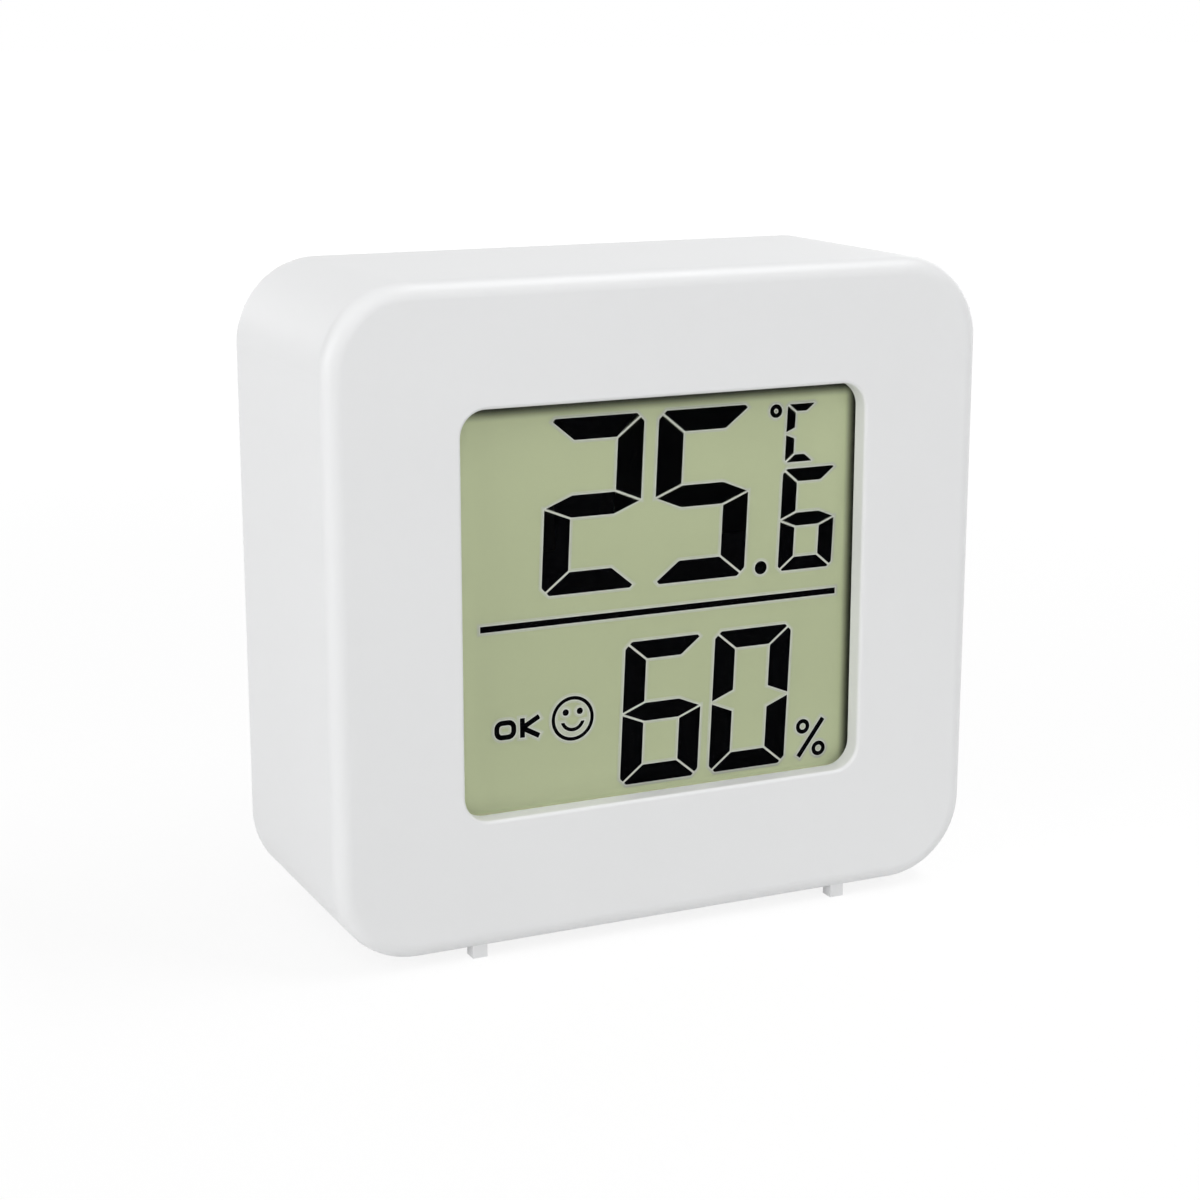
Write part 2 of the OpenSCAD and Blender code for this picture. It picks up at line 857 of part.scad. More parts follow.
module crystal() {
    axis_d = board_back + crystal_r + contact_gap;
    wire_r = bead_lead_r;
    wire_x = crystal_l / 2 + crystal_wire;
    color("lightgray") {
        translate([-crystal_l / 2, y_at(axis_d), mid_z + crystal_z])
            rotate([0, 90, 0])
                cylinder(r = crystal_r, h = crystal_l);
        for (z = [-1, 1] * crystal_r / 2) {
            translate([0, y_at(axis_d), mid_z + crystal_z + z])
                rotate([0, 90, 0])
                    cylinder(r = wire_r, h = wire_x);
            rod(board_back, axis_d + wire_r, wire_r, wire_x, crystal_z + z);
        }
    }
}

module chip_components() {
    first_x = -(chip_count - 1) * chip_pitch / 2;
    color("tan")
        for (i = [0 : chip_count - 1])
            block(board_back, board_back + chip_size[2], chip_size[0], chip_size[1],
                first_x + i * chip_pitch, chip_z);
}

module humidity_sensor() {
    sensor_back = board_back + sensor_size[2];
    color("ivory")
        difference() {
            block(board_back, sensor_back, sensor_size[0], sensor_size[1], vent_x, button_z);
            for (i = [-1 : 1])
                block(sensor_back - sensor_slot[2], sensor_back + past, sensor_slot[0], sensor_slot[1],
                    vent_x, button_z + i * sensor_slot_pitch);
        }
}

module thermistor() {
    bead_d = board_back + bead_rise;
    color("saddlebrown") {
        turned(bead_d, bead_x, bead_z)
            sphere(bead_r);
        for (z = [-1, 1] * bead_r / 2)
            rod(board_back, bead_d, bead_lead_r, bead_x, bead_z + z);
    }
}

module tact_switch() {
    leg = [1, 0.7, 0.3];
    plunger_floor = plunger_front - button_travel - contact_gap;
    color("dimgray")
        difference() {
            union() {
                block(board_back, switch_back, switch_w, switch_w, button_x, button_z);
                for (x = [-1, 1], z = [-1, 1])
                    block(board_back, board_back + leg[2], leg[0], leg[1],
                        button_x + x * (switch_w + leg[0]) / 2, button_z + z * switch_w / 3);
            }
            rod(plunger_floor, switch_back + past, plunger_r + button_clear, button_x, button_z);
        }
}

module switch_plunger() {
    color("black")
        rod(plunger_front, plunger_back, plunger_r, button_x, button_z);
}

module unit_button() {
    flange_back = cover_front - flange_gap;
    color("white") {
        edged_rod(flange_back - flange_t, cover_back + button_proud, button_r, panel_edge_r,
            button_x, button_z);
        rod(flange_back - flange_t, flange_back, button_r + flange_reach, button_x, button_z);
        rod(plunger_back, flange_back, stem_r, button_x, button_z);
    }
}

// One of the door's sectors, turned about its axis between two depths
module door_sector(d0, d1, r0, r1, arc, middle) {
    turned(d0, 0, door_z)
        rotate(middle - arc / 2)
            rotate_extrude(angle = arc)
                translate([r0, 0])
                    square([r1 - r0, d1 - d0]);
}

module tray_cuts() {
    wall_room = contact_t + 3 * contact_gap;
    rod(tray_floor_d, cover_back + past, cell_bore_r, 0, door_z);
    rod(lug_front - 2 * door_play, ledge_front, lug_room_r, 0, door_z);
    rod(ledge_front - past, ledge_back, neck_r + neck_gap, 0, door_z);
    rod(ledge_back, cover_back + past, door_r + door_clear, 0, door_z);
    for (i = [0 : lug_count - 1])
        door_sector(ledge_front - door_play, ledge_back + door_play, neck_r, lug_r + door_clear, notch_arc,
            90 + door_turn + i * 360 / lug_count);
    block(tray_front - past, cell_back, wall_room + cell_clear, contact_w + 2 * lead_gap,
        -cell_r - (wall_room - cell_clear) / 2, door_z);
    block(tray_front - past, tray_floor_d + contact_gap, contact_t + 2 * lead_gap, contact_w + 2 * lead_gap,
        tail_x + contact_t / 2, door_z);
}

module keyhole_cut() {
    rod(cover_front - past, cover_back + past, keyhole_r, 0, keyhole_z);
    block(cover_front - past, cover_back + past, keyhole_slot, keyhole_run, 0, keyhole_z + keyhole_run / 2);
    rod(cover_front - past, cover_back + past, keyhole_slot / 2, 0, keyhole_z + keyhole_run);
}

module vent_cuts() {
    for (i = [0 : vent_count - 1])
        plate(cover_front - past, cover_back + past)
            translate([vent_x, vent_z + i * vent_pitch])
                slot_shape(vent_l, vent_w);
}

// Dots beside the door for its locked and open places
module door_marks() {
    for (angle = [0, door_turn])
        turned(cover_back - mark_d, 0, door_z)
            rotate(angle)
                translate([door_r + door_clear + 3 * mark_r, 0, 0])
                    cylinder(r = mark_r, h = mark_d + past);
}

// Section of the cover from a corner's axis outwards, back edge at 0
module cover_section(r) {
    square([r - panel_edge_r, cover_t]);
    translate([0, panel_edge_r])
        square([r, cover_t - panel_edge_r]);
    translate([r - panel_edge_r, panel_edge_r])
        circle(panel_edge_r);
}

module cover_plate() {
    plate_r = cavity_r - cover_clear;
    translate([0, y_at(cover_back), mid_z])
        rotate([90, 0, 0])
            swept_block(cavity_w - 2 * cover_clear, cavity_h - 2 * cover_clear, plate_r, 0, cover_t)
                cover_section(plate_r);
}

module back_cover() {
    guide_r = button_r + flange_reach + 2 * button_clear;
    head_room_r = cover_screw_r + head_reach + 3 * screw_clear;
    color("white")
        difference() {
            union() {
                cover_plate();
                rod(tray_front, cover_back, tray_r, 0, door_z);
                rod(cover_front - guide_l, cover_back, guide_r + guide_wall, button_x, button_z);
            }
            tray_cuts();
            keyhole_cut();
            vent_cuts();
            door_marks();
            rod(cover_front - guide_l - past, cover_front, guide_r, button_x, button_z);
            rod(cover_front - past, cover_back + past, button_r + button_clear, button_x, button_z);
            at_posts() {
                rod(cover_front - past, cover_back + past, cover_screw_r + 2 * screw_clear);
                rod(cover_back - head_h - screw_clear, cover_back + past, head_room_r);
            }
        }
}

module battery_door() {
    recess_back = lug_back;
    color("white")
        difference() {
            union() {
                edged_rod(door_front, cover_back, door_r, panel_edge_r, 0, door_z);
                rod(lug_front, door_front, neck_r, 0, door_z);
                for (i = [0 : lug_count - 1])
                    door_sector(lug_front, lug_back, neck_r - neck_wall, lug_r, lug_arc,
                        90 + i * 360 / lug_count);
            }
            rod(lug_front - past, recess_back, neck_r - neck_wall, 0, door_z);
            plate(cover_back - coin_slot_d, cover_back + past)
                translate([0, door_z])
                    slot_shape(coin_slot_l, coin_slot_w);
            turned(cover_back - mark_d, 0, door_z)
                translate([door_r - 3 * mark_r, 0, 0])
                    cylinder(r = mark_r, h = mark_d + past);
        }
}

module coin_cell() {
    cap_r = cell_r - cap_step;
    cap_h = 0.35;
    edge_r = 0.3;
    color("silver") {
        rod(cell_front, cell_back - edge_r, cap_r, 0, door_z);
        edged_rod(cell_front + cap_h, cell_back, cell_r, edge_r, 0, door_z);
    }
}

module battery_contact_positive() {
    color("goldenrod")
        block(tail_d, cell_back - 2 * contact_rise, contact_t, contact_w,
            -cell_r - contact_gap - contact_t / 2, door_z);
}

module battery_contact_negative() {
    base_d = y_at(tray_floor_d);
    top_d = y_at(cell_front - contact_gap);
    color("goldenrod")
        translate([0, 0, mid_z + door_z - contact_w / 2])
            linear_extrude(contact_w) {
                translate([-tongue_x, base_d])
                    square([tail_x + contact_t + tongue_x, contact_t]);
                translate([tail_x, y_at(tail_d)])
                    square([contact_t, tray_floor_d + contact_t - tail_d]);
                polygon([[tongue_x, base_d], [tongue_x, base_d + contact_t], [-tongue_x, top_d],
                    [-tongue_x, top_d - contact_t]]);
            }
}

// A lead from a contact's tail at x, along X past the tray and then down to the board
module lead(start_x, side) {
    bend_x = lead_x - lead_bend;
    run = side > 0 ? bend_x - start_x : start_x + bend_x;
    translate([start_x, y_at(lead_d), mid_z + door_z])
        rotate([0, side * 90, 0])
            cylinder(r = lead_r, h = run);
    translate([side * bend_x, y_at(lead_d - lead_bend), mid_z + door_z])
        rotate(side > 0 ? 0 : 90)
            rotate_extrude(angle = 90)
                translate([lead_bend, 0])
                    circle(lead_r);
    rod(board_back, lead_d - lead_bend, lead_r, side * lead_x, door_z);
}

module positive_lead() {
    color("red")
        lead(-cell_r - contact_gap - contact_t, -1);
}

module negative_lead() {
    color("black")
        lead(tail_x + contact_t, 1);
}

front_shell();
lcd_front_polarizer();
lcd_front_glass();
lcd_segments();
lcd_edge_seal();
lcd_rear_glass();
lcd_reflector();
lcd_frame();
zebra_strip();
main_pcb();
board_screws();
controller_chip();
crystal();
chip_components();
humidity_sensor();
thermistor();
tact_switch();
switch_plunger();
unit_button();
back_cover();
cover_screws();
battery_door();
coin_cell();
battery_contact_positive();
battery_contact_negative();
positive_lead();
negative_lead();
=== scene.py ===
"""Dresses the mini temperature and humidity meter and sets it in a white studio.

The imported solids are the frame. Everything made here is placed from them, in
metres, with +X to the reader's right, +Y from the display towards the back cover
and +Z up.
"""

from __future__ import annotations

import logging
import math
from dataclasses import dataclass
from enum import Enum
from typing import Dict, List, Optional, Tuple, Union

import bmesh
import bpy
from mathutils import Matrix, Vector


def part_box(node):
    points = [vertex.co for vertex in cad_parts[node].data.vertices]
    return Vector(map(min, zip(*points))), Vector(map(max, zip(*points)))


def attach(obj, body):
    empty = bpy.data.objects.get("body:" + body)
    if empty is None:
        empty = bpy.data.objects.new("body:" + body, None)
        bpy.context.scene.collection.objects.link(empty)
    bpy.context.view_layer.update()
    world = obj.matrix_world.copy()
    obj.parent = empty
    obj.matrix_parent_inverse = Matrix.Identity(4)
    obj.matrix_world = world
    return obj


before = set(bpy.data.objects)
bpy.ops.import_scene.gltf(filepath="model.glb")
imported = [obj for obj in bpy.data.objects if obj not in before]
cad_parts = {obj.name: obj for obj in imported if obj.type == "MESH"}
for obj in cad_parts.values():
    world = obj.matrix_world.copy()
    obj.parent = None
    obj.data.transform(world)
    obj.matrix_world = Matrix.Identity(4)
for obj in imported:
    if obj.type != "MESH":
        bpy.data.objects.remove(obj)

MM = 0.001
BODY = "housing"
PLASTIC_IOR = 1.5
GLASS_IOR = 1.5
NOISE_ROUGHNESS = 0.55
WHITE = (1.0, 1.0, 1.0, 1.0)
SHOWN_RAYS = ("Is Camera Ray", "Is Glossy Ray", "Is Transmission Ray")

Rgb = Tuple[float, float, float]
Point = Tuple[float, float]
Span = Tuple[float, float]
Term = Union["Signal", float]
Colour = Union["Signal", Rgb]
SocketKey = Union[str, int]
SocketValue = Union["Signal", float, Tuple[float, ...]]
Settings = Dict[str, object]
Sockets = Dict[SocketKey, SocketValue]

log = logging.getLogger("meter")


class Signal:
    """A node's output, which Python's operators turn into shader maths."""

    def __init__(self, sheet: NodeSheet, socket: bpy.types.NodeSocket) -> None:
        """Keeps the socket and the sheet that it belongs to."""
        self.sheet = sheet
        self.socket = socket

    def _math(self, operation: str, first: Term, second: Term = 0.0) -> Signal:
        """Adds one Math node and gives its result."""
        return self.sheet.add("ShaderNodeMath", {"operation": operation}, {0: first, 1: second})

    def __add__(self, other: Term) -> Signal:
        """Gives the sum."""
        return self._math("ADD", self, other)

    def __radd__(self, other: Term) -> Signal:
        """Gives the sum, with the signal second."""
        return self._math("ADD", other, self)

    def __sub__(self, other: Term) -> Signal:
        """Gives the difference."""
        return self._math("SUBTRACT", self, other)

    def __rsub__(self, other: Term) -> Signal:
        """Gives the difference, with the signal second."""
        return self._math("SUBTRACT", other, self)

    def __mul__(self, other: Term) -> Signal:
        """Gives the product."""
        return self._math("MULTIPLY", self, other)

    def __rmul__(self, other: Term) -> Signal:
        """Gives the product, with the signal second."""
        return self._math("MULTIPLY", other, self)

    def __truediv__(self, other: Term) -> Signal:
        """Gives the quotient."""
        return self._math("DIVIDE", self, other)

    def __rtruediv__(self, other: Term) -> Signal:
        """Gives the quotient, with the signal second."""
        return self._math("DIVIDE", other, self)

    def __pow__(self, other: Term) -> Signal:
        """Gives the power."""
        return self._math("POWER", self, other)

    def __rpow__(self, other: Term) -> Signal:
        """Gives the power, with the signal as the exponent."""
        return self._math("POWER", other, self)

    def __mod__(self, other: Term) -> Signal:
        """Gives the rest after division, never below zero."""
        return self._math("FLOORED_MODULO", self, other)

    def __rmod__(self, other: Term) -> Signal:
        """Gives the rest after division by the signal."""
        return self._math("FLOORED_MODULO", other, self)

    def __abs__(self) -> Signal:
        """Gives the size without its sign."""
        return self._math("ABSOLUTE", self)

    def whole(self) -> Signal:
        """Gives the whole number below."""
        return self._math("FLOOR", self)

    def most(self, other: Term) -> Signal:
        """Gives the larger of the two."""
        return self._math("MAXIMUM", self, other)

    def swing(self) -> Signal:
        """Gives a signal from 0 to 1 as a swing from -0.5 to 0.5."""
        return self - 0.5

    def step(self, low: float, high: float) -> Signal:
        """Gives a smooth climb from 0 to 1.

        Args:
            low: Where the climb starts.
            high: Where it has reached 1.

        Returns:
            The clamped, eased signal.
        """
        settings = {"interpolation_type": "SMOOTHSTEP", "clamp": True}
        sockets = {"Value": self, "From Min": low, "From Max": high}
        return self.sheet.add("ShaderNodeMapRange", settings, sockets)


class Detail(Enum):
    """How many finer layers a noise has."""

    SOFT = 2.0
    FINE = 3.0
    DUSTY = 4.0


class NodeSheet:
    """The nodes of one material or of the world."""

    def __init__(self, tree: bpy.types.NodeTree) -> None:
        """Takes the tree and empties it."""
        self.tree = tree
        tree.nodes.clear()

    @staticmethod
    def _find(sockets: bpy.types.bpy_prop_collection, key: SocketKey) -> bpy.types.NodeSocket:
        """Finds a socket.

        Args:
            sockets: A node's inputs or outputs.
            key: The socket's place, identifier or name.

        Returns:
            The first socket that fits.
        """
        if isinstance(key, int):
            return sockets[key]
        return next((s for s in sockets if s.identifier == key), None) or sockets[key]

    def add(self, kind: str, settings: Optional[Settings] = None,
            sockets: Optional[Sockets] = None, result: SocketKey = 0) -> Optional[Signal]:
        """Adds one node.

        Args:
            kind: The node's type.
            settings: Properties of the node, which are set first.
            sockets: Values or signals for its inputs.
            result: Which output is wanted.

        Returns:
            The wanted output, or None for a node without outputs.
        """
        node = self.tree.nodes.new(kind)
        for name, value in (settings or {}).items():
            setattr(node, name, value)
        for key, value in (sockets or {}).items():
            socket = self._find(node.inputs, key)
            if isinstance(value, Signal):
                self.tree.links.new(value.socket, socket)
            else:
                socket.default_value = value
        return Signal(self, self._find(node.outputs, result)) if len(node.outputs) else None

    def place(self) -> Signal:
        """Gives the point on the piece, in the piece's own frame."""
        return self.add("ShaderNodeTexCoord", result="Object")

    def axis(self, vector: Signal, letter: str) -> Signal:
        """Gives one of a vector's three parts."""
        return self.add("ShaderNodeSeparateXYZ", None, {0: vector}, letter)

    def stretched(self, vector: Signal, by: Tuple[float, float, float]) -> Signal:
        """Gives a vector with its parts scaled."""
        return self.add("ShaderNodeVectorMath", {"operation": "MULTIPLY"}, {0: vector, 1: by})

    def noise(self, vector: Signal, size: float, detail: Detail = Detail.SOFT) -> Signal:
        """Gives soft noise from 0 to 1.

        Args:
            vector: Where the noise is read.
            size: Length of its main features.
            detail: How many finer layers it has.

        Returns:
            The noise's value.
        """
        sockets = {
            "Vector": vector, "Scale": 1.0 / size,
            "Detail": detail.value, "Roughness": NOISE_ROUGHNESS,
        }
        return self.add("ShaderNodeTexNoise", {"noise_dimensions": "3D"}, sockets, "Fac")

    def tint(self, factor: Signal, low: Colour, high: Colour) -> Signal:
        """Mixes two colours.

        Args:
            factor: 0 for the first colour, 1 for the second.
            low: The first colour.
            high: The second colour.

        Returns:
            The mixed colour.
        """
        first, second = (part if isinstance(part, Signal) else (*part, 1.0) for part in (low, high))
        sockets = {"Factor_Float": factor, "A_Color": first, "B_Color": second}
        return self.add("ShaderNodeMix", {"data_type": "RGBA"}, sockets, "Result_Color")

    def scaled(self, colour: Signal, by: Signal) -> Signal:
        """Makes a colour lighter or darker.

        Args:
            colour: The colour.
            by: The share of it that is kept, or its gain.

        Returns:
            The scaled colour.
        """
        settings = {"data_type": "RGBA", "blend_type": "MULTIPLY"}
        sockets = {"Factor_Float": 1.0, "A_Color": colour, "B_Color": by}
        return self.add("ShaderNodeMix", settings, sockets, "Result_Color")

    def bump(self, height: Signal, depth: float) -> Signal:
        """Turns a height from 0 to 1 into a normal, where 1 is as high as the depth says."""
        return self.add("ShaderNodeBump", None, {"Height": height, "Distance": depth})

    def surface(self, shader: Signal, target: str = "ShaderNodeOutputMaterial") -> None:
        """Ends the sheet in an output node."""
        self.add(target, None, {"Surface": shader})

    def principled(self, **sockets: SocketValue) -> None:
        """Ends the sheet in a Principled shader, whose inputs' spaces are underscores here."""
        named = {key.replace("_", " "): value for key, value in sockets.items()}
        self.surface(self.add("ShaderNodeBsdfPrincipled", None, named))


def shaded(colour: Rgb, by: float) -> Rgb:
    """Gives a colour made lighter or darker."""
    return colour[0] * by, colour[1] * by, colour[2] * by


class Lay(Enum):
    """Which way the fine marks on a metal run."""

    ALONG_X = (0.04, 1.0, 1.0)
    ALONG_Y = (1.0, 0.04, 1.0)


@dataclass(frozen=True)
class Finish:
    """A surface with a name, a colour and a roughness, which makes its own material.

    In each kind of finish, a field that ends in gloss says how far the roughness
    drifts, and one that ends in depth says how deep the relief is.
    """

    name: str
    colour: Rgb
    roughness: float

    def material(self) -> bpy.types.Material:
        """Makes the material, or finds it when it is already made.

        Returns:
            The one material of this finish.
        """
        found = bpy.data.materials.get(self.name)
        if found:
            return found
        made = bpy.data.materials.new(self.name)
        made.use_nodes = True
        self.fill(NodeSheet(made.node_tree))
        return made

    def fill(self, sheet: NodeSheet) -> None:
        """Adds the finish's nodes, which each kind of finish does in its own way."""
        raise NotImplementedError(self.name)

    def between(self, sheet: NodeSheet, factor: Signal, low: float, high: float) -> Signal:
        """Lets the finish's colour drift.

        Args:
            sheet: The material's nodes.
            factor: 0 for the first tone, 1 for the second.
            low: The first tone, as a share of the colour.
            high: The second tone, as a share of the colour.

        Returns:
            The drifting colour.
        """
        return sheet.tint(factor, shaded(self.colour, low), shaded(self.colour, high))


@dataclass(frozen=True)
class MouldedPlastic(Finish):
    """Injection moulded plastic with the fine grain of its tool."""

    grain: float = 0.25 * MM
    grain_depth: float = 0.002 * MM
    grain_gloss: float = 0.04
    grains_per_drift: float = 40
    drift_gloss: float = 0.05
    mottle: float = 0.012

    def fill(self, sheet: NodeSheet) -> None:
        """Adds grain, a faint drift of the colour and of the gloss.

        Args:
            sheet: The material's nodes.
        """
        place = sheet.place()
        grain = sheet.noise(place, self.grain, Detail.FINE)
        drift = sheet.noise(place, self.grains_per_drift * self.grain)
        gloss = self.drift_gloss * drift.swing() + self.grain_gloss * grain.swing()
        sheet.principled(
            Base_Color=self.between(sheet, drift, 1 - self.mottle, 1 + self.mottle),
            Roughness=self.roughness + gloss,
            IOR=PLASTIC_IOR,
            Normal=sheet.bump(grain, self.grain_depth),
        )


@dataclass(frozen=True)
class ClearSheet(Finish):
    """A clear film or plate that shows a trace of its own surface."""

    alpha: float
    haze: float = 3 * MM
    haze_gloss: float = 0.06

    def fill(self, sheet: NodeSheet) -> None:
        """Adds a see-through surface whose haze drifts a little.

        Args:
            sheet: The material's nodes.
        """
        haze = sheet.noise(sheet.place(), self.haze)
        sheet.principled(
            Base_Color=(*self.colour, 1.0),
            Roughness=self.roughness + self.haze_gloss * haze.swing(),
            Alpha=self.alpha,
            IOR=GLASS_IOR,
        )


@dataclass(frozen=True)
class PaintedEdgeLight:
    """Painted light that makes the display's field paler at one edge, against the shade of the
    window's recess, and how far it reaches.
    """

    share: float
    reach: float

    def at(self, distance: Signal) -> Signal:
        """Gives the painted light's gain at a distance from the edge."""
        return self.share * math.e ** (distance / -self.reach)


@dataclass(frozen=True)
class DisplayField(Finish):
    """The olive field of a reflective display, made paler towards its edges by painted light against
    the shade of the window's recess.

    Under the window's upper and right rims a painted shadow runs along it as a dark band.
    """

    left: float
    right: float
    low: float
    top: float
    # Painted shadow: a dark band is painted into the field's colour under the window's upper and
    # right rims, with its spans measured from each rim.
    painted_shadow_colour: Rgb = (0.036, 0.04, 0.026)
    right_painted_shadow: Span = (-0.3 * MM, 0.5 * MM)
    top_painted_shadow: Span = (0.32 * MM, 1.15 * MM)
    # Painted light: each edge's gain makes the field paler where the window's recess shades it.
    left_painted_light: PaintedEdgeLight = PaintedEdgeLight(0.4, 1.6 * MM)
    right_painted_light: PaintedEdgeLight = PaintedEdgeLight(0.4, 1.2 * MM)
    top_painted_light: PaintedEdgeLight = PaintedEdgeLight(0.23, 6 * MM)
    low_painted_light: PaintedEdgeLight = PaintedEdgeLight(0.24, 2 * MM)
    foot_painted_light: PaintedEdgeLight = PaintedEdgeLight(0.5, 0.25 * MM)
    grain: float = 0.06 * MM
    grain_share: float = 0.03
    grain_gloss: float = 0.1
    drift: float = 9 * MM
    drift_share: float = 0.03
    shine: float = 0.2

    def fill(self, sheet: NodeSheet) -> None:
        """Adds the field's fine grain, the painted light of its paler edges and the painted shadow
        bands under the rims.

        Args:
            sheet: The material's nodes.
        """
        place = sheet.place()
        across, up = sheet.axis(place, "X"), sheet.axis(place, "Z")
        from_left, from_right = across - self.left, self.right - across
        from_low, from_top = up - self.low, self.top - up
        # Painted shadow: 0 in the dark band under the upper and right rims, 1 in the open field.
        outside_painted_shadow = from_right.step(*self.right_painted_shadow) * from_top.step(*self.top_painted_shadow)
        # Painted light: the gain lightens the field towards each edge, against the recess's shade.
        gain = 1 + self.left_painted_light.at(from_left) + self.right_painted_light.at(from_right)
        gain = gain + self.top_painted_light.at(from_top)
        gain = gain + self.low_painted_light.at(from_low) + self.foot_painted_light.at(from_low)
        grain = sheet.noise(place, self.grain)
        drift = sheet.noise(place, self.drift)
        grained = 1 - self.grain_share + self.grain_share * grain
        uneven = grained * (1 + self.drift_share * drift.swing())
        # The painted shadow's dark colour is mixed in under the rims.
        field = sheet.tint(outside_painted_shadow, self.painted_shadow_colour, self.colour)
        sheet.principled(
            Base_Color=sheet.scaled(field, gain * uneven),
            Roughness=self.roughness + self.grain_gloss * grain.swing(),
            IOR=GLASS_IOR,
            Specular_IOR_Level=self.shine,
        )


@dataclass(frozen=True)
class Ink(Finish):
    """A flat layer inside the display, such as a dark bar or its pale fringe."""

    mottle: float = 0.1
    patch: float = 0.5 * MM
    patch_gloss: float = 0.06

    def fill(self, sheet: NodeSheet) -> None:
        """Adds a faint unevenness of the colour.

        Args:
            sheet: The material's nodes.
        """
        uneven = sheet.noise(sheet.place(), self.patch)
        sheet.principled(
            Base_Color=self.between(sheet, uneven, 1 - self.mottle, 1 + self.mottle),
            Roughness=self.roughness + self.patch_gloss * uneven.swing(),
            Specular_IOR_Level=0.0,
        )


@dataclass(frozen=True)
class BrushedMetal(Finish):
    """Rolled or drawn metal with marks along one axis."""

    lay: Lay = Lay.ALONG_X
    mark: float = 0.05 * MM
    mark_depth: float = 0.001 * MM
    mark_gloss: float = 0.22
    tones: Span = (0.86, 1.08)

    def fill(self, sheet: NodeSheet) -> None:
        """Adds fine streaks to the colour, the gloss and the normal.

        Args:
            sheet: The material's nodes.
        """
        along = sheet.stretched(sheet.place(), self.lay.value)
        streaks = sheet.noise(along, self.mark, Detail.FINE)
        sheet.principled(
            Base_Color=self.between(sheet, streaks, *self.tones),
            Metallic=1.0,
            Roughness=self.roughness + self.mark_gloss * streaks.swing(),
            Normal=sheet.bump(streaks, self.mark_depth),
        )


@dataclass(frozen=True)
class TurnedMetal(Finish):
    """Metal with round marks about one middle, or about four mirrored ones."""

    middle: Point
    offset: Point = (0.0, 0.0)
    mark: float = 0.12 * MM
    mark_depth: float = 0.0015 * MM
    mark_gloss: float = 0.16
    smear: float = 1.5 * MM
    smear_gloss: float = 0.08
    tones: Span = (0.84, 1.1)

    def fill(self, sheet: NodeSheet) -> None:
        """Adds rings to the colour, the gloss and the normal.

        Args:
            sheet: The material's nodes.
        """
        place = sheet.place()
        across = abs(sheet.axis(place, "X") - self.middle[0]) - self.offset[0]
        along = abs(sheet.axis(place, "Z") - self.middle[1]) - self.offset[1]
        radius = (across * across + along * along) ** 0.5
        sockets = {"W": radius, "Scale": 1 / self.mark, "Detail": Detail.FINE.value}
        rings = sheet.add("ShaderNodeTexNoise", {"noise_dimensions": "1D"}, sockets, "Fac")
        smear = sheet.noise(place, self.smear)
        gloss = self.mark_gloss * rings.swing() + self.smear_gloss * smear.swing()
        sheet.principled(
            Base_Color=self.between(sheet, rings, *self.tones),
            Metallic=1.0,
            Roughness=self.roughness + gloss,
            Normal=sheet.bump(rings, self.mark_depth),
        )


